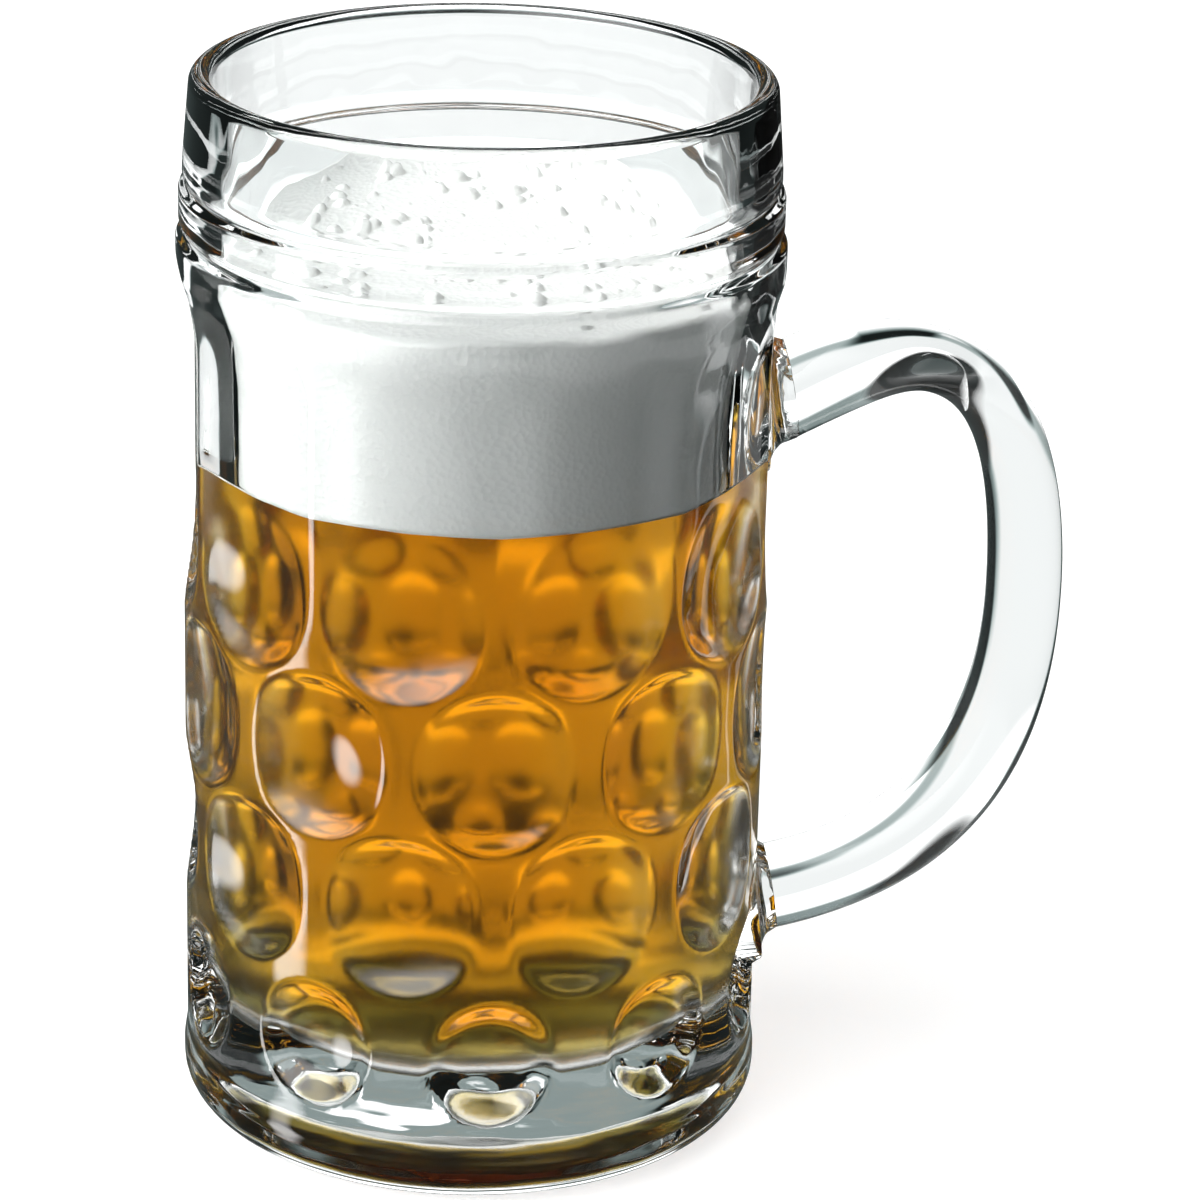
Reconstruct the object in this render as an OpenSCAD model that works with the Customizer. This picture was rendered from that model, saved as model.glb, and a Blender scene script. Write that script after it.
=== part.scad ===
// One-litre dimpled beer mug in clear plastic, shown poured.
// The mug stands on z = 0 with its axis on Z and its handle towards +X.

/* [Body] */
// Overall height, from the table to the top of the lip
mug_h = 200; // [192:1:215]
// Outside radius of the wall, over the ribs and the webs
body_r = 54.3; // [53:0.1:58]
// Thickness of the solid floor under the drink
floor_t = 20; // [14:0.5:24]
// Wall thickness over the webs, just above the floor corner
foot_wall = 9.5; // [7.8:0.1:12]
// Distance from the outside of the wall in to the bore, at the lip
top_wall = 5.7; // [4.8:0.1:7.3]
// Radius of the corner between floor and inside wall
floor_corner_r = 12; // [4:0.5:20]

/* [Base] */
// How far the base ring stands out of the wall
base_out = 1; // [0.4:0.1:3]
// Height of the base ring
base_ring_h = 12.5; // [9:0.5:14]
// Height of the slope from the base ring up to the wall
base_slope_h = 2.5; // [1:0.5:4]
// Rounding of the base ring's lower edge
base_corner_r = 7; // [3:0.5:8.5]
// Radius of the recess under the floor
recess_r = 38; // [20:1:42]
// Depth of the recess under the floor
recess_depth = 1.6; // [0.6:0.1:4]

/* [Lip and rings] */
// Wall thickness at the lip, which is fully rounded
lip_wall = 4.4; // [3:0.1:5]
// Distance from the top down to the upper ring
upper_ring_drop = 21; // [16:0.5:24]
// Distance from the top down to the lower ring
lower_ring_drop = 30; // [27:0.5:32]
// Distance from the top down to the lower edge of the band
band_drop = 36; // [34:0.5:40]
// How far the band under the lower ring stands out of the wall
band_out = 1.2; // [0.8:0.1:2.5]
// Step in radius at each ring
ring_step = 0.6; // [0.2:0.1:0.7]
// Depth of the groove that runs round above each ring
ring_groove = 0.7; // [0.2:0.1:0.9]
// Height of each flank of a groove
ring_step_h = 1; // [0.5:0.1:1.5]
// Height of the slope from the wall out to the band
band_slope_h = 4; // [2:0.5:6]

/* [Panels] */
// Depth of the flat panels below the lip band
panel_depth = 2.3; // [1.2:0.1:2.8]
// Distance from the top down to the arched top of the panels
panel_top_drop = 34; // [32:0.5:38]
// Radius of the curve that a panel runs out on, above and below
panel_runout_r = 40; // [10:1:45]
// Height of the panels' flat foot above the top row of eyes
panel_foot_rise = 4; // [0:0.5:12]

/* [Eyes] */
// Number of eyes in a row, and of panels round the mug
eyes_round = 10; // [9:1:10]
// Outer diameter of an eye
eye_d = 30; // [22:0.5:31]
// Outer diameter of an eye in the lowest row
low_eye_d = 24; // [16:0.5:26]
// Width of the sloping rim round an eye's lens
eye_rim_w = 2.5; // [1.5:0.25:5]
// Depth of an eye at its middle
eye_depth = 3.2; // [1.5:0.1:3.6]
// Radius of the hollow lens in an eye
lens_r = 90; // [50:5:200]
// Height of the lowest row of eyes
low_row_z = 29; // [28:0.2:32]
// Height from one row of eyes to the next
row_pitch = 28.5; // [27:0.25:30]
// Rows of full-size eyes above the lowest row
full_rows = 3; // [2:1:3]

/* [Handle] */
// Distance from the mug's axis to the outside of the grip
handle_reach = 110.6; // [100:0.2:120]
// Height of the grip's outermost point
grip_z = 100.5; // [92:0.5:108]
// Thickness of the handle at the grip, front to back of the fingers
grip_t = 14; // [10:0.5:17]
// Thickness of the handle at its crown
crown_t = 11.5; // [9:0.5:14]
// Width of the handle across the palm
handle_w = 20; // [14:0.5:26]
// Diameter of the upper root
upper_root_d = 18.4; // [14:0.2:21]
// Diameter of the lower root
lower_root_d = 16.4; // [13:0.2:20]
// Distance from the top down to the middle of the upper root
upper_root_drop = 60; // [56:0.5:64]
// Height of the middle of the lower root
lower_root_z = 39; // [34:0.5:42]
// How far the two bosses that carry the handle stand out of the wall
boss_out = 3.2; // [2:0.1:6]
// How far the flare round a boss spreads over the surface that carries it
boss_flare = 5.5; // [2:0.5:7]
// Upward tilt of the joint faces
root_tilt = 9; // [0:1:14]
// Angle at which the handle rises from its upper root
upper_rise = 27; // [10:1:40]
// Angle at which the handle rises from its lower root
lower_rise = 12; // [0:1:30]
// Fullness of the curve at the upper root
upper_pull = 38; // [25:1:55]
// Fullness of the curve above the grip
crown_pull = 35.5; // [20:0.5:42]
// Fullness of the curve below the grip
grip_pull = 25.5; // [20:0.5:42]
// Fullness of the curve at the lower root
lower_pull = 39; // [20:1:50]

/* [Drink] */
// Distance from the top down to the rim of the foam
foam_drop = 33.5; // [28:0.5:60]
// Height of the foam at the wall
foam_h = 37; // [10:0.5:60]
// Rise of the foam from the wall to its middle
foam_crown = 2; // [0.5:0.25:6]

/* [Hidden] */
clear_plastic = [0.86, 0.91, 0.91, 0.4];
beer_amber = [0.8, 0.5, 0.06, 0.85];
foam_white = [0.96, 0.96, 0.94];
// Smoothness of round surfaces, and points in one rounded corner
$fn = 96;
corner_steps = 8;
// Smoothness of the large circle that an eye's shallow lens is cut from
lens_smoothness = 720;
// How far a cut runs past the surface it cuts
cut_past = 5;
// Heights worked out from the top and from the floor
upper_ring_z = mug_h - upper_ring_drop;
lower_ring_z = mug_h - lower_ring_drop;
band_z = mug_h - band_drop;
lip_r = lip_wall / 2;
lip_z = mug_h - lip_r;
floor_corner_z = floor_t + floor_corner_r;
// Radii of the drafted bore at its two ends
bore_foot_r = body_r - foot_wall;
bore_lip_r = body_r - top_wall;
// Radii of the bands, from the wall outwards
base_r = body_r + base_out;
band_r = body_r + band_out;
collar_r = band_r - ring_step;
shoulder_r = collar_r - ring_step;
lip_outer_r = bore_lip_r + lip_wall;
// Panels and eyes are spread evenly, with one panel behind the handle
pitch_angle = 360 / eyes_round;
top_row_z = low_row_z + full_rows * row_pitch;
panel_x = body_r - panel_depth;
// How far the edge of a boss's flare lies under the surface that carries it
flare_sink = 0.6;
// The joint faces between bosses and handle
root_x = body_r + boss_out;
upper_root_z = mug_h - upper_root_drop;
grip_x = handle_reach - grip_t / 2;
// Rings along each half of the handle, and points round a ring
half_rings = 20;
ring_points = 28;
// Share of the upper half over which its root turns into the crown
root_blend = 0.32;
foam_z = mug_h - foam_drop;
beer_z = foam_z - foam_h;

// Points on an arc about c, from angle a0 to a1
function arc(c, r, a0, a1, steps = corner_steps) = [
    for (i = [0:steps])
        let (a = a0 + (a1 - a0) * i / steps)
        c + r * [cos(a), sin(a)]
];

// Inside radius of the drafted bore at height z
function bore_r(z) =
    bore_foot_r + (bore_lip_r - bore_foot_r) * (z - floor_corner_z) / (lip_z - floor_corner_z);

// Outline of the bore from the middle of the floor up the wall to height z
function bore_outline(z) = concat(
    [[0, floor_t]],
    arc([bore_foot_r - floor_corner_r, floor_corner_z], floor_corner_r, -90, 0),
    [[bore_r(z), z]]
);

// Outside of the mug from the foot up to the rounded lip
function outer_outline() = concat(
    [[0, 0]],
    arc([base_r - base_corner_r, base_corner_r], base_corner_r, -90, 0),
    [
        [base_r, base_ring_h],
        [body_r, base_ring_h + base_slope_h],
        [body_r, band_z - band_slope_h],
        [band_r, band_z],
        [band_r, lower_ring_z],
        [collar_r - ring_groove, lower_ring_z + ring_step_h],
        [collar_r, lower_ring_z + 2 * ring_step_h],
        [collar_r, upper_ring_z],
        [shoulder_r - ring_groove, upper_ring_z + ring_step_h],
        [shoulder_r, upper_ring_z + 2 * ring_step_h]
    ],
    arc([lip_outer_r - lip_r, lip_z], lip_r, 0, 90),
    [[0, mug_h]]
);

// Space of the drink, up to the open top and the inner half of the lip
module bore() {
    rotate_extrude()
        polygon(concat(
            bore_outline(lip_z),
            arc([bore_lip_r + lip_r, lip_z], lip_r, 180, 90),
            [[bore_lip_r + lip_r, mug_h + cut_past], [0, mug_h + cut_past]]
        ));
}

// Height that a run-out curve needs to rise by the given depth
function runout_h(depth) = sqrt(depth * (2 * panel_runout_r - depth));

// Cutter for one flat panel: an upright slot whose round ends run out above and below
module panel_cut() {
    end_x = panel_x + panel_runout_r;
    top_z = mug_h - panel_top_drop - runout_h(panel_depth + band_out);
    foot_z = top_row_z + panel_foot_rise;
    rotate([90, 0, 0])
        linear_extrude(height = body_r, center = true) {
            for (z = [foot_z, top_z])
                translate([end_x, z])
                    circle(panel_runout_r);
            translate([panel_x, foot_z])
                square([panel_runout_r, top_z - foot_z]);
        }
}

// Cutter for one eye of diameter d: a hollow lens with a sloping rim, along +X
module eye_cut(d) {
    lens_edge = d / 2 - eye_rim_w;
    lens_a = asin(lens_edge / lens_r);
    lens_h = lens_r * (1 - cos(lens_a));
    slope = (eye_depth - lens_h) / eye_rim_w;
    translate([body_r - eye_depth, 0, 0])
        rotate([0, 90, 0])
            rotate_extrude() {
                intersection() {
                    translate([0, lens_r])
                        circle(lens_r, $fn = lens_smoothness);
                    square([lens_edge, lens_h]);
                }
                polygon([
                    [0, lens_h],
                    [lens_edge, lens_h],
                    [d / 2 + cut_past / slope, eye_depth + cut_past],
                    [0, eye_depth + cut_past]
                ]);
            }
}

// All rows of eyes, each row half a pitch round from the one below.
// The second row has no eye behind the handle, where the lower boss stands.
module eye_cuts() {
    for (row = [0:full_rows])
        for (k = [0:eyes_round - 1])
            if (row != 1 || k != 0)
                translate([0, 0, low_row_z + row * row_pitch])
                    rotate([0, 0, (k + (row % 2 == 0 ? 0.5 : 0)) * pitch_angle])
                        eye_cut(row == 0 ? low_eye_d : eye_d);
}

// Boss for a handle root of diameter d at height z, flared on a quarter ellipse to a surface at carrier_x
module boss(d, z, carrier_x) {
    flare_h = root_x - carrier_x + flare_sink;
    outline = concat(
        [[0, 0]],
        [for (i = [0:corner_steps])
            let (a = 90 * i / corner_steps)
            [d / 2 + boss_flare * (1 - cos(a)), -flare_h * sin(a)]],
        [[d / 2 + boss_flare, -flare_h - cut_past], [0, -flare_h - cut_past]]
    );
    translate([root_x, 0, z])
        rotate([0, 90 - root_tilt, 0])
            rotate_extrude()
                polygon(outline);
}

module mug_body() {
    color(clear_plastic)
        difference() {
            union() {
                difference() {
                    rotate_extrude()
                        polygon(outer_outline());
                    for (k = [0:eyes_round - 1])
                        rotate([0, 0, k * pitch_angle])
                            panel_cut();
                    eye_cuts();
                }
                boss(upper_root_d, upper_root_z, panel_x);
                boss(lower_root_d, lower_root_z, body_r);
            }
            bore();
            translate([0, 0, -cut_past])
                cylinder(r = recess_r, h = recess_depth + cut_past);
        }
}

// Handle path in the XZ plane: two cubic curves that meet upright at the grip
function cubic(p, t) =
    pow(1 - t, 3) * p[0] + 3 * pow(1 - t, 2) * t * p[1]
    + 3 * (1 - t) * t * t * p[2] + pow(t, 3) * p[3];
function cubic_slope(p, t) =
    pow(1 - t, 2) * (p[1] - p[0]) + 2 * (1 - t) * t * (p[2] - p[1])
    + t * t * (p[3] - p[2]);
upper_root = [root_x, upper_root_z];
lower_root = [root_x, lower_root_z];
grip = [grip_x, grip_z];
upper_curve = [
    upper_root,
    upper_root + upper_pull * [cos(upper_rise), sin(upper_rise)],
    grip + [0, crown_pull],
    grip
];
lower_curve = [
    grip,
    grip - [0, grip_pull],
    lower_root + lower_pull * [cos(lower_rise), sin(lower_rise)],
    lower_root
];

function smooth(t) = let (u = min(1, max(0, t))) u * u * (3 - 2 * u);
function mix(a, b, t) = a + (b - a) * t;

// Angle of a ring's normal: square to the path, and square to the joint face at a root
function path_angle(curve, t) = let (s = cubic_slope(curve, t)) atan2(s[1], s[0]);
function upper_angle(t) = mix(root_tilt, path_angle(upper_curve, t), smooth(t / root_blend));
function lower_angle(t) =
    mix(path_angle(lower_curve, t), -180 + root_tilt, smooth((t + root_blend - 1) / root_blend));

// Half thickness and half width of the handle along each half
function upper_size(t) = [
    t < root_blend
        ? mix(upper_root_d, crown_t, smooth(t / root_blend)) / 2
        : mix(crown_t, grip_t, smooth((t - root_blend) / (1 - root_blend))) / 2,
    mix(upper_root_d, handle_w, smooth(t / root_blend)) / 2
];
function lower_size(t) = [
    mix(grip_t, lower_root_d, smooth(t)) / 2,
    mix(handle_w, lower_root_d, smooth(t)) / 2
];

// One oval ring of points about a path point
function ring(c, angle, size) = [
    for (i = [0:ring_points - 1])
        let (
            a = 360 * i / ring_points,
            out = size[0] * cos(a)
        )
        [c[0] - out * sin(angle), size[1] * sin(a), c[1] + out * cos(angle)]
];

module handle() {
    rings = concat(
        [for (i = [0:half_rings])
            let (t = i / half_rings)
            ring(cubic(upper_curve, t), upper_angle(t), upper_size(t))],
        [for (i = [1:half_rings])
            let (t = i / half_rings)
            ring(cubic(lower_curve, t), lower_angle(t), lower_size(t))]
    );
    last = len(rings) - 1;
    n = ring_points;
    sides = [
        for (j = [0:last - 1])
            for (i = [0:n - 1])
                let (k = (i + 1) % n)
                each [
                    [j * n + i, (j + 1) * n + i, (j + 1) * n + k],
                    [j * n + i, (j + 1) * n + k, j * n + k]
                ]
    ];
    ends = [
        [for (i = [0:n - 1]) i],
        [for (i = [0:n - 1]) last * n + n - 1 - i]
    ];
    color(clear_plastic)
        polyhedron(points = [for (r = rings) each r], faces = concat(sides, ends));
}

module beer() {
    color(beer_amber)
        rotate_extrude()
            polygon(concat(bore_outline(beer_z), [[0, beer_z]]));
}

// Foam between the beer and a gently crowned top
module foam_head() {
    rim_r = bore_r(foam_z);
    crown_r = (rim_r * rim_r + foam_crown * foam_crown) / (2 * foam_crown);
    crown_a = asin(rim_r / crown_r);
    color(foam_white)
        rotate_extrude()
            polygon(concat(
                [[0, beer_z], [bore_r(beer_z), beer_z]],
                arc([0, foam_z + foam_crown - crown_r], crown_r, 90 - crown_a, 90)
            ));
}

mug_body();
handle();
beer();
foam_head();
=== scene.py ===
# A one-litre dimpled beer mug in clear plastic, poured with beer under a head of foam.
# Lengths are in metres. The mug stands on z = 0 with its axis on Z and its handle towards +X.
import math

import bpy
import numpy as np
from mathutils import Matrix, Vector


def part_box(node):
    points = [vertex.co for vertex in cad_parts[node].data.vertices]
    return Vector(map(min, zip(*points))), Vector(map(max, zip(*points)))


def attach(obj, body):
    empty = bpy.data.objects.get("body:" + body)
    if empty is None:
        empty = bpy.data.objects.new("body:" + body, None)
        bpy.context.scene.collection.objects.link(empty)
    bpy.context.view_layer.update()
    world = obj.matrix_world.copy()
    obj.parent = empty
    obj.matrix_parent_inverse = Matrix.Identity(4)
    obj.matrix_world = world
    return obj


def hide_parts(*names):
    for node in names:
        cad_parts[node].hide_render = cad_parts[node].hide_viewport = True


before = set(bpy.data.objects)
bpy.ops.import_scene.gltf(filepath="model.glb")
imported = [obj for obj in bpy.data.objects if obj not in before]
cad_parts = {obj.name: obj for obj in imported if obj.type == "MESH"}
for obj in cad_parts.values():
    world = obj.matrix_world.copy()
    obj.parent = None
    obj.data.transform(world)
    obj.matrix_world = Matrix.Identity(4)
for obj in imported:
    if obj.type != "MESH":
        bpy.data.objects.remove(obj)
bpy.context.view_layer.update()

# Mug body
# The cup is one moulding of clear plastic: a thick floor, ten flat panels under the lip, four staggered
# rows of round hollow eyes below them, and two bosses on the side that carry the handle.
body_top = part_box("mug_body")[1]
mug_h = body_top.z
band_r = body_top.y
band_out = 0.0012
wall_r = band_r - band_out
base_out = 0.0006
base_r = wall_r + base_out
base_corner_r = 0.007
base_ring_h = 0.0095
base_slope_h = 0.004
recess_r = 0.038
recess_depth = 0.0016
recess_edge = 0.0008
floor_z, beer_z = (corner.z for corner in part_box("beer"))
floor_corner_r = 0.012
floor_corner_z = floor_z + floor_corner_r
foot_wall = 0.0095
top_wall = 0.0057
bore_foot_r = wall_r - foot_wall
bore_lip_r = wall_r - top_wall
lip_r = 0.0022
lip_z = mug_h - lip_r
lip_mid_r = bore_lip_r + lip_r
band_z = mug_h - 0.036
band_slope_h = 0.004
lower_ring_z = mug_h - 0.030
upper_ring_z = mug_h - 0.021
ring_step = 0.0006
ring_step_h = 0.0015
ring_groove = 0.0011
turned_edge_r = 0.0005
panel_count = 10
pitch = 2 * math.pi / panel_count
panel_depth = 0.0023
panel_top_z = mug_h - 0.034
panel_runout_r = 0.040
panel_foot_rise = 0.004
panel_edge = 0.0009
eye_rows = 4
low_row_z = 0.029
row_pitch = 0.0285
top_row_z = low_row_z + (eye_rows - 1) * row_pitch
eye_r = 0.0154
low_eye_r = 0.0118
eye_depth = 0.0040
top_row_sink = 0.0006
lens_r = 0.045
rim_slope = 0.8
rim_round = 0.0005
boss_out = 0.0032
root_x = wall_r + boss_out
root_tilt = math.radians(9)
upper_root_z = mug_h - 0.060
lower_root_z = 0.039
upper_root_r = 0.0092
lower_root_r = 0.0082
boss_flare = 0.0055
boss_edge = 0.0012
boss_sector = math.radians(60)
flare_sink = 0.0006
crease_angle = math.radians(50)
columns = 360
column_bias = 0.35
# Rows of the wall: the lowest and the highest row of each stretch, and how many rows it has
wall_stretches = (
    (base_corner_r + 0.001, base_ring_h + 0.003, 12),
    (base_ring_h + 0.004, band_z - 0.005, 138),
    (band_z - 0.0045, upper_ring_z + 0.003, 52),
    (upper_ring_z + 0.005, lip_z - 0.002, 6),
)
under_rings = (0.012, 0.025)
floor_rings = (0.022, 0.011)
base_corner_rows = 10
lip_rows = 15
heel_rows = 12
dry_rows = 4
wet_rows = 9


def soft_min(a, b, reach):
    """The lesser of two surfaces, with the corner between them rounded over reach."""
    near = np.clip(1 - np.abs(a - b) / reach, 0, 1)
    return np.minimum(a, b) - near * near * reach / 4


def ease(t):
    """A smooth step from 0 to 1: three t squared less two t cubed."""
    t = np.clip(t, 0, 1)
    return t * t * (3 - 2 * t)


def turned_radius(z):
    """Straight lines between the bands' corners, averaged over a short height so the corners are round."""
    collar_r = band_r - ring_step
    shoulder_r = collar_r - ring_step
    heights = [0, base_ring_h, base_ring_h + base_slope_h, band_z - band_slope_h, band_z,
               lower_ring_z, lower_ring_z + ring_step_h, lower_ring_z + 2 * ring_step_h,
               upper_ring_z, upper_ring_z + ring_step_h, upper_ring_z + 2 * ring_step_h, lip_z]
    radii = [base_r, base_r, wall_r, wall_r, band_r,
             band_r, collar_r - ring_groove, collar_r,
             collar_r, shoulder_r - ring_groove, shoulder_r, lip_mid_r + lip_r]
    spread = turned_edge_r * np.linspace(-1, 1, 7)
    return np.mean([np.interp(z + step, heights, radii) for step in spread], axis=0)


def panel_radius(angle, z):
    """A flat face square to the panel's middle, curving out of the wall on an arc above and below."""
    turn = (angle + pitch / 2) % pitch - pitch / 2
    full_depth = panel_depth + band_out
    top_z = panel_top_z - math.sqrt(full_depth * (2 * panel_runout_r - full_depth))
    foot_z = top_row_z + panel_foot_rise
    past = np.maximum(z - top_z, foot_z - z)
    past = np.clip(past, 0, 0.98 * panel_runout_r)
    face_x = wall_r - panel_depth + panel_runout_r - np.sqrt(panel_runout_r**2 - past**2)
    return face_x / np.cos(turn)


def with_eyes(wall, angle, z):
    """Each eye is the higher of a shallow round bowl and a cone that falls inwards from the eye's outline.

    The second row has no eye behind the handle, where the lower boss stands.
    """
    radius = wall
    from_handle = np.abs((angle + math.pi) % (2 * math.pi) - math.pi)
    for row in range(eye_rows):
        phase = pitch / 2 if row % 2 == 0 else 0.0
        turn = (angle - phase + pitch / 2) % pitch - pitch / 2
        rise = z - (low_row_z + row * row_pitch)
        outer = low_eye_r if row == 0 else eye_r
        depth = eye_depth + (top_row_sink if row == eye_rows - 1 else 0.0)
        bowl_x = wall_r - depth + ((wall_r * np.sin(turn))**2 + rise**2) / (2 * lens_r)
        cone_r = wall - rim_slope * (outer - np.hypot(wall_r * turn, rise))
        hollow = -soft_min(-bowl_x / np.cos(turn), -cone_r, rim_round)
        if row == 1:
            hollow = np.where(from_handle < pitch / 2, wall_r + 1, hollow)
        radius = soft_min(radius, hollow, rim_round)
    return radius


def with_boss(radius, angle, z, root_z, root_r, carrier_r):
    """A round pad square to the root's axis, with a flare that falls on a quarter ellipse to its carrier.

    The pad's distance from the axis is found in three rounds, each from the last one's place on the pad.
    """
    depth = root_x - carrier_r + flare_sink
    reach = np.full_like(radius, root_x)
    rise = (z - root_z) * math.sin(root_tilt)
    for _ in range(3):
        x, y = reach * np.cos(angle) - root_x, reach * np.sin(angle)
        side = (z - root_z) * math.cos(root_tilt) - x * math.sin(root_tilt)
        out = np.clip((np.hypot(y, side) - root_r) / boss_flare, 0, 1)
        fall = depth * np.sqrt(1 - (1 - out)**2)
        reach = (root_x * math.cos(root_tilt) - rise - fall) / (np.cos(angle) * math.cos(root_tilt))
    reach = np.where((np.cos(angle) > math.cos(boss_sector)) & (out < 1), reach, 0)
    return -soft_min(-radius, -reach, boss_edge)


def wall_radius(angle, z):
    """The turned wall, less the panels and the eyes, plus the two bosses."""
    radius = soft_min(turned_radius(z), panel_radius(angle, z), panel_edge)
    radius = with_eyes(radius, angle, z)
    radius = with_boss(radius, angle, z, upper_root_z, upper_root_r, wall_r - panel_depth)
    return with_boss(radius, angle, z, lower_root_z, lower_root_r, wall_r)


def bore_radius(z):
    """The drafted bore: a straight line from its foot, over the floor's corner, to the lip."""
    return np.interp(z, [floor_corner_z, lip_z], [bore_foot_r, bore_lip_r])


def closed_rings(name, rings):
    """A closed mesh: each ring joins the next all round, and both end rings close on their middle point."""
    count, around = rings.shape[:2]
    points = np.concatenate([rings.reshape(-1, 3), rings[:1].mean(axis=1), rings[-1:].mean(axis=1)])
    index = np.arange(count * around).reshape(count, around)
    beside = np.roll(index, -1, axis=1)
    quads = np.stack([index[:-1], beside[:-1], beside[1:], index[1:]], axis=-1).reshape(-1, 4)
    first = np.full(around, count * around)
    last = first + 1
    fans = np.concatenate([np.stack([first, beside[0], index[0]], axis=-1),
                           np.stack([index[-1], beside[-1], last], axis=-1)])
    mesh = bpy.data.meshes.new(name)
    mesh.from_pydata(points.tolist(), [], quads.tolist() + fans.tolist())
    mesh.shade_smooth()
    mesh.set_sharp_from_angle(angle=crease_angle)
    piece = bpy.data.objects.new(name, mesh)
    bpy.context.scene.collection.objects.link(piece)
    return piece


def arc_points(mid_r, mid_z, radius, start, end, count):
    """Radius and height of points on an arc about a middle, from one angle to another in degrees."""
    a = np.radians(np.linspace(start, end, count))
    return mid_r + radius * np.cos(a), mid_z + radius * np.sin(a)


def mug_rings():
    """Rings from the middle of the underside up the wall, over the lip and down the bore to the floor.

    The columns stand closer together towards the handle: a sine of the turn is taken from the turn.
    """
    turn = np.linspace(0, 2 * math.pi, columns, endpoint=False)
    angle = turn - column_bias * np.sin(turn)
    under_r = np.concatenate([under_rings, recess_r + recess_edge * np.array([-1, -0.25, 0.25, 1])])
    under_z = recess_depth * np.array([1, 1, 1, 0.75, 0.25, 0])
    corner_r, corner_z = arc_points(base_r - base_corner_r, base_corner_r, base_corner_r,
                                    -90, 0, base_corner_rows)
    wall_z = np.concatenate([np.linspace(*stretch) for stretch in wall_stretches])
    lip_arc_r, lip_arc_z = arc_points(lip_mid_r, lip_z, lip_r, 0, 180, lip_rows)
    dry_z = np.linspace(lip_z, beer_z, dry_rows + 2)[1:-1]
    wet_z = np.linspace(beer_z, floor_corner_z, wet_rows + 1)[:-1]
    bore_z = np.concatenate([dry_z, wet_z])
    heel_r, heel_z = arc_points(bore_foot_r - floor_corner_r, floor_corner_z, floor_corner_r,
                                0, -90, heel_rows)
    floor_level = np.full(len(floor_rings), floor_z)
    wall_turn, wall_height = np.meshgrid(angle, wall_z)
    under_profile = np.concatenate([under_r, corner_r])
    inside_profile = np.concatenate([lip_arc_r, bore_radius(bore_z), heel_r, floor_rings])
    radius = np.concatenate([
        np.repeat(under_profile[:, None], columns, axis=1),
        wall_radius(wall_turn, wall_height),
        np.repeat(inside_profile[:, None], columns, axis=1),
    ])
    z = np.concatenate([under_z, corner_z, wall_z, lip_arc_z, bore_z, heel_z, floor_level])
    z = np.repeat(z[:, None], columns, axis=1)
    return np.stack([radius * np.cos(angle), radius * np.sin(angle), z], axis=-1)


def clear_plastic(name, gloss, waviness):
    """Clear moulded plastic: smooth, faintly grey-green, and wavy from the mould along its height."""
    material = bpy.data.materials.new(name)
    material.use_nodes = True
    nodes, links = material.node_tree.nodes, material.node_tree.links
    surface = nodes["Principled BSDF"]
    surface.inputs["Base Color"].default_value = (0.97, 0.99, 0.988, 1)
    surface.inputs["Transmission Weight"].default_value = 1.0
    surface.inputs["IOR"].default_value = 1.5
    surface.inputs["Specular Tint"].default_value = (gloss, gloss, gloss, 1)
    surface.inputs["Roughness"].default_value = 0.0
    place = nodes.new("ShaderNodeTexCoord")
    waves = nodes.new("ShaderNodeTexNoise")
    waves.inputs["Scale"].default_value = 60.0
    waves.inputs["Detail"].default_value = 1.5
    upright = nodes.new("ShaderNodeMapping")
    upright.inputs["Scale"].default_value = (1, 1, 0.6)
    bump = nodes.new("ShaderNodeBump")
    bump.inputs["Strength"].default_value = waviness
    bump.inputs["Distance"].default_value = 0.001
    links.new(place.outputs["Object"], upright.inputs["Vector"])
    links.new(upright.outputs["Vector"], waves.inputs["Vector"])
    links.new(waves.outputs["Fac"], bump.inputs["Height"])
    links.new(bump.outputs["Normal"], surface.inputs["Normal"])
    return material


def wetted_faces(mesh):
    """True for each face that the beer wets: inside the bore, above the floor and below the beer's top."""
    centres = np.empty(3 * len(mesh.polygons))
    mesh.polygons.foreach_get("center", centres)
    x, y, z = centres.reshape(-1, 3).T
    return (np.hypot(x, y) < bore_lip_r) & (z > floor_z - recess_depth) & (z < beer_z)


mug_body = closed_rings("mug_cup", mug_rings())
mug_body.data.materials.append(clear_plastic("clear_plastic", gloss=1.0, waviness=0.5))
mug_body.data.materials.append(clear_plastic("wetted_plastic", gloss=0.0, waviness=0.15))
mug_body.data.polygons.foreach_set("material_index", wetted_faces(mug_body.data).astype(np.int32))
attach(mug_body, "root")
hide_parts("mug_body")

# Handle
# A solid ear of the same clear plastic, moulded by itself and welded to the two bosses.
# The weld leaves a fine line at each root.
handle_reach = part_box("handle")[1].x
grip_t = 0.007
crown_t = 0.00575
grip_w = 0.010
grip = np.array([handle_reach - grip_t, 0.1005])
upper_root = np.array([root_x, upper_root_z])
lower_root = np.array([root_x, lower_root_z])
upper_rise = math.radians(27)
lower_rise = math.radians(12)
upper_pull = 0.038
crown_pull = 0.0355
grip_pull = 0.0255
lower_pull = 0.039
upper_curve = np.array([
    upper_root,
    upper_root + upper_pull * np.array([math.cos(upper_rise), math.sin(upper_rise)]),
    grip + [0, crown_pull],
    grip,
])
lower_curve = np.array([
    grip,
    grip - [0, grip_pull],
    lower_root + lower_pull * np.array([math.cos(lower_rise), math.sin(lower_rise)]),
    lower_root,
])
root_blend = 0.32
weld_gap = 0.00006
half_rings = 60
ring_points = 72


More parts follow.
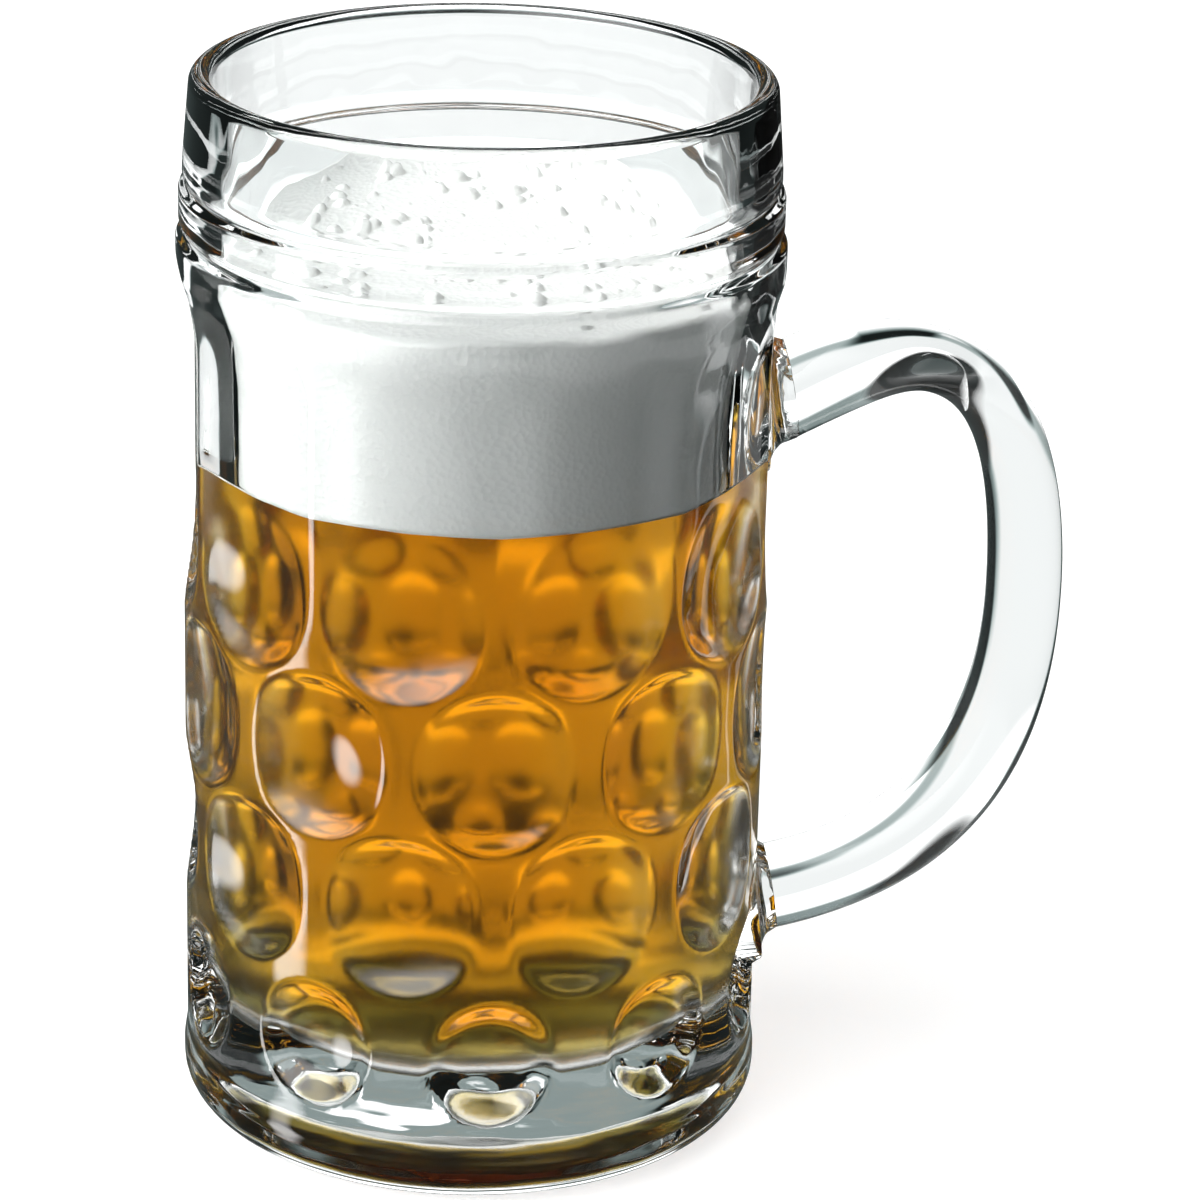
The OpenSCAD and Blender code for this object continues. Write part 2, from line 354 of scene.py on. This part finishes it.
def cubic(points, t):
    """Place and direction on a cubic curve with four control points, at shares t of its run."""
    a, b, c, d = points
    t = t[:, None]
    place = (1 - t)**3 * a + 3 * (1 - t)**2 * t * b + 3 * (1 - t) * t * t * c + t**3 * d
    slope = (1 - t)**2 * (b - a) + 2 * (1 - t) * t * (c - b) + t * t * (d - c)
    return place, np.unwrap(np.arctan2(slope[:, 1], slope[:, 0]))


def blend(a, b, share):
    """A value that goes from a to b as share goes from 0 to 1."""
    return a + (b - a) * share


def handle_rings():
    """Oval rings square to two cubic curves that meet upright at the grip.

    Towards the roots the rings turn to the weld faces and become round.
    """
    t = np.linspace(0, 1, half_rings)
    place_up, turn_up = cubic(upper_curve, t)
    place_low, turn_low = cubic(lower_curve, t)
    root_up, root_low = ease(t / root_blend), ease((t + root_blend - 1) / root_blend)
    turn_up = blend(root_tilt, turn_up, root_up)
    turn_low = blend(turn_low, root_tilt - math.pi, root_low)
    thick_up = np.where(t < root_blend, blend(upper_root_r, crown_t, root_up),
                        blend(crown_t, grip_t, ease((t - root_blend) / (1 - root_blend))))
    wide_up = blend(upper_root_r, grip_w, root_up)
    thick_low = blend(grip_t, lower_root_r, ease(t))
    wide_low = blend(grip_w, lower_root_r, ease(t))
    place = np.concatenate([place_up, place_low[1:]])
    turn = np.concatenate([turn_up, turn_low[1:]])
    thick = np.concatenate([thick_up, thick_low[1:]])
    wide = np.concatenate([wide_up, wide_low[1:]])
    place[[0, -1]] += weld_gap * np.array([math.cos(root_tilt), math.sin(root_tilt)])
    a = -np.linspace(0, 2 * math.pi, ring_points, endpoint=False)
    out = thick[:, None] * np.cos(a)
    x = place[:, :1] - out * np.sin(turn)[:, None]
    z = place[:, 1:] + out * np.cos(turn)[:, None]
    return np.stack([x, wide[:, None] * np.sin(a), z], axis=-1)


handle = closed_rings("mug_handle", handle_rings())
handle.data.materials.append(clear_plastic("handle_plastic", gloss=0.4, waviness=0.12))
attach(handle, "root")
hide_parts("handle")

# Beer
# Amber lager that fills the bore from the floor to the foam. It wets the plastic, so its surface lies
# a hair inside the wall and no film of air shows between them.
wetting = 0.00012
beer_columns = 180
beer_heel_rows = 16
beer_side_rows = 23
beer_floor_rings = (0.011, 0.022)
beer_top_shares = np.array([0.97, 0.66, 0.33])


def beer_profile():
    """From the middle of the floor round the corner, up the drafted wall and in to the axis."""
    heel_r, heel_z = arc_points(bore_foot_r - floor_corner_r, floor_corner_z, floor_corner_r + wetting,
                                -90, 0, beer_heel_rows)
    side_z = np.linspace(floor_corner_z, beer_z, beer_side_rows + 1)[1:]
    side_r = bore_radius(side_z) + wetting
    top_r = side_r[-1] * beer_top_shares
    floor_level = np.full(len(beer_floor_rings), floor_z - wetting)
    radius = np.concatenate([beer_floor_rings, heel_r, side_r, top_r])
    z = np.concatenate([floor_level, heel_z, side_z, np.full(len(top_r), beer_z)])
    return radius, z


def beer_rings():
    """The beer's profile turned about the mug's axis."""
    angle = np.linspace(0, 2 * math.pi, beer_columns, endpoint=False)
    radius, z = beer_profile()
    radius = radius[:, None]
    return np.stack([radius * np.cos(angle), radius * np.sin(angle), z[:, None] + 0 * angle], axis=-1)


def beer_amber():
    """Clear amber liquid: light is lost with depth, blue most and red least."""
    material = bpy.data.materials.new("beer_amber")
    material.use_nodes = True
    nodes, links = material.node_tree.nodes, material.node_tree.links
    surface = nodes["Principled BSDF"]
    surface.inputs["Base Color"].default_value = (1, 1, 1, 1)
    surface.inputs["Transmission Weight"].default_value = 1.0
    surface.inputs["IOR"].default_value = 1.34
    surface.inputs["Specular Tint"].default_value = (0, 0, 0, 1)
    surface.inputs["Roughness"].default_value = 0.2
    depth = nodes.new("ShaderNodeVolumeAbsorption")
    depth.inputs["Color"].default_value = (0.92, 0.775, 0.15, 1)
    depth.inputs["Density"].default_value = 78.0
    links.new(depth.outputs["Volume"], nodes["Material Output"].inputs["Volume"])
    return material


beer = closed_rings("beer_fill", beer_rings())
beer.data.materials.append(beer_amber())
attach(beer, "root")
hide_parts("beer")

# Foam head
# A thick white froth of fine bubbles. It stands a hair off the plastic, because bubbles touch the wall
# only at their films, and its top is gently crowned with coarser bubbles.
dome_room = 0.0012
foam_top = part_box("foam_head")[1].z - dome_room
foam_crown = 0.002
foam_rim = foam_top - foam_crown
foam_edge_r = 0.001
foam_sink = 0.0004
film_gap = 0.00015
foam_columns = 400
foam_side_rows = 26
foam_edge_rows = 5
foam_top_rows = 130
bubble_seed = 7
bubble_count = 200
bubble_r = (0.0008, 0.0021)
bubble_spread = (0.02, 0.98)
dome_height = 0.6


def bubble_relief(x, y):
    """Height of the highest dome of seeded round bubbles: each is a flattened half ball on the froth."""
    draw = np.random.default_rng(bubble_seed)
    height = np.zeros_like(x)
    for _ in range(bubble_count):
        place_r = bore_foot_r * math.sqrt(draw.uniform(*bubble_spread))
        turn = draw.uniform(0, 2 * math.pi)
        size = draw.uniform(*bubble_r)**2 / bubble_r[1]
        apart = (x - place_r * math.cos(turn))**2 + (y - place_r * math.sin(turn))**2
        height = np.maximum(height, dome_height * np.sqrt(np.maximum(size**2 - apart, 0)))
    return height


def foam_rings():
    """A turned block whose crowned top, a parabola over the radius, carries the relief of bubbles."""
    angle = np.linspace(0, 2 * math.pi, foam_columns, endpoint=False)
    side_z = np.linspace(beer_z - foam_sink, foam_rim - foam_edge_r, foam_side_rows)
    side_r = bore_radius(side_z) - film_gap
    rim_r, rim_z = arc_points(side_r[-1] - foam_edge_r, foam_rim - foam_edge_r, foam_edge_r,
                              15, 80, foam_edge_rows)
    share = np.linspace(0.975, 0.01, foam_top_rows)
    top_r = side_r[-1] * share
    top_z = foam_rim + foam_crown * (1 - share**2)
    under_r = side_r[0] * np.array([0.3, 0.7, 0.97])
    radius = np.concatenate([under_r, side_r, rim_r, top_r])
    z = np.concatenate([np.full(len(under_r), side_z[0]), side_z, rim_z, top_z])
    x, y = radius[:, None] * np.cos(angle), radius[:, None] * np.sin(angle)
    z = z[:, None] + 0 * angle
    z[-foam_top_rows:] += bubble_relief(x, y)[-foam_top_rows:]
    return np.stack([x, y, z], axis=-1)


def foam_white():
    """Matte white froth with a relief of small packed bubbles."""
    material = bpy.data.materials.new("foam_white")
    material.use_nodes = True
    nodes, links = material.node_tree.nodes, material.node_tree.links
    surface = nodes["Principled BSDF"]
    surface.inputs["Base Color"].default_value = (0.93, 0.93, 0.91, 1)
    surface.inputs["Roughness"].default_value = 0.7
    place = nodes.new("ShaderNodeTexCoord")
    cells = nodes.new("ShaderNodeTexVoronoi")
    cells.inputs["Scale"].default_value = 900.0
    bump = nodes.new("ShaderNodeBump")
    bump.inputs["Strength"].default_value = 0.35
    bump.inputs["Distance"].default_value = 0.0003
    links.new(place.outputs["Object"], cells.inputs["Vector"])
    links.new(cells.outputs["Distance"], bump.inputs["Height"])
    links.new(bump.outputs["Normal"], surface.inputs["Normal"])
    return material


foam = closed_rings("foam_top", foam_rings())
foam.data.materials.append(foam_white())
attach(foam, "root")
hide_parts("foam_head")

# Floor and flags
# A wide white table that takes the mug's shadow and glows just enough to read as white paper.
# Black cards with soft edges stand behind the handle, as clear ware is given its dark lines. Under the foot
# lies a thin grey disc of painted shadow: it stands for the shaded table beneath the mug and shows only
# through the clear plastic and in its gloss.
floor_half = 4.0
floor_drop = 0.0001
paper_grey = 0.45
paper_glow = 0.7
flag_points = 96
flag_black = 0.015
# Size and grey of the painted shadow under the foot
shade_r = 0.054
shade_grey = 0.3


def white_table():
    """White paper: part of its white is its own light for the eye, and the rest is lit and shaded."""
    material = bpy.data.materials.new("white_table")
    material.use_nodes = True
    nodes, links = material.node_tree.nodes, material.node_tree.links
    nodes.remove(nodes["Principled BSDF"])
    paper = nodes.new("ShaderNodeBsdfDiffuse")
    paper.inputs["Color"].default_value = (paper_grey, paper_grey, paper_grey, 1)
    glow = nodes.new("ShaderNodeEmission")
    ray = nodes.new("ShaderNodeLightPath")
    scale = nodes.new("ShaderNodeMath")
    scale.operation = "MULTIPLY"
    scale.inputs[1].default_value = paper_glow
    both = nodes.new("ShaderNodeAddShader")
    links.new(ray.outputs["Is Camera Ray"], scale.inputs[0])
    links.new(scale.outputs["Value"], glow.inputs["Strength"])
    links.new(paper.outputs["BSDF"], both.inputs[0])
    links.new(glow.outputs["Emission"], both.inputs[1])
    links.new(both.outputs["Shader"], nodes["Material Output"].inputs["Surface"])
    return material


table_mesh = bpy.data.meshes.new("table")
table_corners = floor_half * np.array([[-1, -1], [1, -1], [1, 1], [-1, 1]])
table_points = np.column_stack([table_corners, np.full(4, -floor_drop)])
table_mesh.from_pydata(table_points.tolist(), [], [[0, 1, 2, 3]])
table = bpy.data.objects.new("table", table_mesh)
bpy.context.scene.collection.objects.link(table)
table.data.materials.append(white_table())
table.visible_transmission = False
table.visible_glossy = False


def flag_card(name, solid_share, cover_share, grey):
    """Matte card whose cover falls to nothing from a share of its half width out to its edge."""
    material = bpy.data.materials.new(name)
    material.use_nodes = True
    nodes, links = material.node_tree.nodes, material.node_tree.links
    surface = nodes["Principled BSDF"]
    surface.inputs["Base Color"].default_value = (grey, grey, grey, 1)
    place = nodes.new("ShaderNodeTexCoord")
    out = nodes.new("ShaderNodeVectorMath")
    out.operation = "LENGTH"
    cover = nodes.new("ShaderNodeMapRange")
    cover.interpolation_type = "SMOOTHSTEP"
    cover.inputs["From Min"].default_value = solid_share
    cover.inputs["From Max"].default_value = 1.0
    cover.inputs["To Min"].default_value = cover_share
    cover.inputs["To Max"].default_value = 0.0
    links.new(place.outputs["UV"], out.inputs[0])
    links.new(out.outputs["Value"], cover.inputs["Value"])
    links.new(cover.outputs["Result"], surface.inputs["Alpha"])
    return material


def black_flag(name, centre, across, up, solid_share, cover_share=1.0, grey=flag_black):
    """An oval card about a centre with two half axes, seen only in clear and glossy surfaces."""
    a = np.linspace(0, 2 * math.pi, flag_points, endpoint=False)
    disc = np.column_stack([np.cos(a), np.sin(a)])
    points = np.asarray(centre) + disc @ np.array([across, up])
    mesh = bpy.data.meshes.new(name)
    mesh.from_pydata(points.tolist(), [], [list(range(flag_points))])
    mesh.uv_layers.new(name="disc").data.foreach_set("uv", disc.ravel())
    mesh.materials.append(flag_card(name, solid_share, cover_share, grey))
    flag = bpy.data.objects.new(name, mesh)
    bpy.context.scene.collection.objects.link(flag)
    flag.visible_camera = False
    flag.visible_diffuse = False
    flag.visible_shadow = False


# Painted shadow: a half-covering grey disc under the foot stands for the table's shade beneath the mug,
# seen only through the clear plastic
black_flag("foot_shade", centre=(0, 0, -floor_drop), across=(shade_r, 0, 0), up=(0, shade_r, 0),
           solid_share=0.9, cover_share=0.55, grey=shade_grey)
black_flag("crown_flag", centre=(0.100, 0.05, 0.180), across=(0.038, 0, 0), up=(0, 0, 0.046),
           solid_share=0.88)
black_flag("bend_flag", centre=(0.1304, 0.05, 0.1526), across=(0.0244, 0, 0.0251), up=(0.0395, 0, -0.0383),
           solid_share=0.85)
black_flag("arm_flag", centre=(0.078, 0.025, 0.052), across=(0.016, 0, 0), up=(0, 0, 0.010),
           solid_share=0.4)

# Light
# A white tent, as clear ware is photographed in. Its back has dark uprights left and right of a bright
# strip, it darkens towards the top, and two openings in it are dark. Softboxes give the gloss, and two
# more light the froth and the table from the left and from behind.
upright_count = 8
upright_turn = math.radians(42)
# Fades: where each starts and ends along x, y or z of the direction, and its values there
upright_width = (0.3, 0.8, 0.3, -0.45)
bright_strip = (0.84, 0.94, 0.0, 2.0)
white_front = (0.1, 0.35, 1.6, 0.0)
upright_edge = (-0.3, 0.3, 1.0, 0.02)
white_ground = (-0.82, -0.57, 1.0, 0.0)
bright_horizon = (-0.22, -0.12, 0.95, 2.2)
bright_ground = (-0.66, -0.58, 1.2, 0.0)
fold_z = -0.55
dark_fold = (0.02, 0.07, 0.5, 1.0)
dark_ceiling = (0.10, 0.30, 1.0, 0.03)
back_wall = (0.6, 0.8, 0.0, 0.15)
back_wall_top = (0.55, 0.75, 1.0, 0.0)
# Softboxes and openings: azimuth, height, inner and outer half angle in degrees, and strength
right_opening = (46, -8, 10, 20, 0.8)
left_opening = (130, -4, 7, 14, 0.97)
front_softbox = (215, 35, 5, 45, 6.0)
side_softbox = (189, -21, 4, 10, 9.0)
gloss_level = 0.1
key_softbox = (-165, 30, 24, 42, 9.8)
fill_softbox = (62, 12, 15, 32, 6.0)
froth_level = 0.025
shade_tint = (0.75, 1.0, 0.98, 1)


def light_tent():
    """Light by direction and by ray: white for the eye, the tent through clear pieces, else softboxes.

    The tent is white where a cosine of the azimuth is under an edge that moves with x and y, or near the
    ground, times fades of the height.
    """
    world = bpy.data.worlds.new("light_tent")
    world.use_nodes = True
    nodes, links = world.node_tree.nodes, world.node_tree.links
    backdrop = nodes["Background"]

    def feed(socket, value):
        """Link a socket to another, or set it to a number."""
        if isinstance(value, bpy.types.NodeSocket):
            links.new(value, socket)
        else:
            socket.default_value = value

    def math_node(operation, *values):
        """The result of one sum on sockets or numbers."""
        node = nodes.new("ShaderNodeMath")
        node.operation = operation
        for socket, value in zip(node.inputs, values):
            feed(socket, value)
        return node.outputs["Value"]

    def span(value, low, high, to_low, to_high):
        """A smooth step of a value, from to_low at low to to_high at high."""
        node = nodes.new("ShaderNodeMapRange")
        node.interpolation_type = "SMOOTHSTEP"
        feed(node.inputs["Value"], value)
        feed(node.inputs["From Min"], low)
        feed(node.inputs["From Max"], high)
        feed(node.inputs["To Min"], to_low)
        feed(node.inputs["To Max"], to_high)
        return node.outputs["Result"]

    def choose(share, first, second):
        """The first value where share is 0 and the second where it is 1."""
        node = nodes.new("ShaderNodeMix")
        feed(node.inputs["Factor"], share)
        feed(node.inputs["A"], first)
        feed(node.inputs["B"], second)
        return node.outputs["Result"]

    way = nodes.new("ShaderNodeTexCoord")
    split = nodes.new("ShaderNodeSeparateXYZ")
    links.new(way.outputs["Generated"], split.inputs["Vector"])
    x, y, z = (split.outputs[axis] for axis in "XYZ")

    def softbox(azimuth, height, inner, outer, strength):
        """A round patch of light: a smooth step of the cosine of the angle from its middle."""
        aim = nodes.new("ShaderNodeVectorMath")
        aim.operation = "DOT_PRODUCT"
        links.new(way.outputs["Generated"], aim.inputs[0])
        turn, rise = math.radians(azimuth), math.radians(height)
        level = math.cos(rise)
        aim.inputs[1].default_value = (math.cos(turn) * level, math.sin(turn) * level, math.sin(rise))
        edge, full = math.cos(math.radians(outer)), math.cos(math.radians(inner))
        return span(aim.outputs["Value"], edge, full, 0.0, strength)

    turn = math_node("SUBTRACT", math_node("ARCTAN2", y, x), upright_turn)
    wave = math_node("COSINE", math_node("MULTIPLY", turn, float(upright_count)))
    edge = math_node("ADD", span(math_node("ABSOLUTE", x), *upright_width), span(y, *bright_strip))
    edge = math_node("ADD", edge, span(y, *white_front))
    uprights = span(math_node("SUBTRACT", wave, edge), *upright_edge)
    cloth = math_node("ADD", span(z, *bright_horizon), span(z, *bright_ground))
    fold = span(math_node("ABSOLUTE", math_node("SUBTRACT", z, fold_z)), *dark_fold)
    upper = math_node("MULTIPLY", span(y, *back_wall), span(z, *back_wall_top))
    ceiling = math_node("MAXIMUM", span(z, *dark_ceiling), upper)
    tent = math_node("MULTIPLY", math_node("MAXIMUM", uprights, span(z, *white_ground)), cloth)
    tent = math_node("MULTIPLY", math_node("MULTIPLY", tent, fold), ceiling)
    for opening in (right_opening, left_opening):
        tent = math_node("MULTIPLY", tent, math_node("SUBTRACT", 1.0, softbox(*opening)))
    shine = math_node("ADD", softbox(*front_softbox), softbox(*side_softbox))
    shine = math_node("ADD", shine, gloss_level)
    lit = math_node("ADD", softbox(*key_softbox), softbox(*fill_softbox))
    lit = math_node("ADD", lit, froth_level)
    ray = nodes.new("ShaderNodeLightPath")
    matte = math_node("GREATER_THAN", ray.outputs["Diffuse Depth"], 0.5)
    seen = choose(ray.outputs["Is Transmission Ray"], shine, tent)
    seen = choose(matte, seen, lit)
    strength = choose(ray.outputs["Is Camera Ray"], seen, 1.0)
    links.new(strength, backdrop.inputs["Strength"])
    tint = nodes.new("ShaderNodeMix")
    tint.data_type = "RGBA"
    links.new(strength, tint.inputs["Factor"])
    tint.inputs["A"].default_value = shade_tint
    tint.inputs["B"].default_value = (1, 1, 1, 1)
    links.new(tint.outputs["Result"], backdrop.inputs["Color"])
    return world


bpy.context.scene.world = light_tent()

# Camera
# A long lens a little above the mug and slightly to the left of square, as in the photograph.
# Its focal length is measured in pixels of a square frame.
camera_place = (-0.0605, -0.8051, 0.4111)
camera_yaw = math.radians(5.94)
camera_pitch = math.radians(21.13)
camera_roll = math.radians(1.52)
focal_pixels = 4630.1
frame_pixels = 1200


def aimed(place, yaw, pitch_down, roll):
    """A camera's frame from its yaw from +Y towards +X, its pitch below the horizon and its roll."""
    level = math.cos(pitch_down)
    ahead = np.array([math.sin(yaw) * level, math.cos(yaw) * level, -math.sin(pitch_down)])
    right = np.array([math.cos(yaw), -math.sin(yaw), 0])
    up = np.cross(right, ahead)
    tilted = math.cos(roll) * right + math.sin(roll) * up
    upright = math.cos(roll) * up - math.sin(roll) * right
    turn = Matrix(np.column_stack([tilted, upright, -ahead]).tolist()).to_4x4()
    return Matrix.Translation(place) @ turn


lens = bpy.data.cameras.new("camera")
lens.sensor_width = 36.0
lens.lens = lens.sensor_width * focal_pixels / frame_pixels
camera = bpy.data.objects.new("camera", lens)
bpy.context.scene.collection.objects.link(camera)
camera.matrix_world = aimed(camera_place, camera_yaw, camera_pitch, camera_roll)
bpy.context.scene.camera = camera
bpy.context.scene.view_settings.view_transform = "Standard"
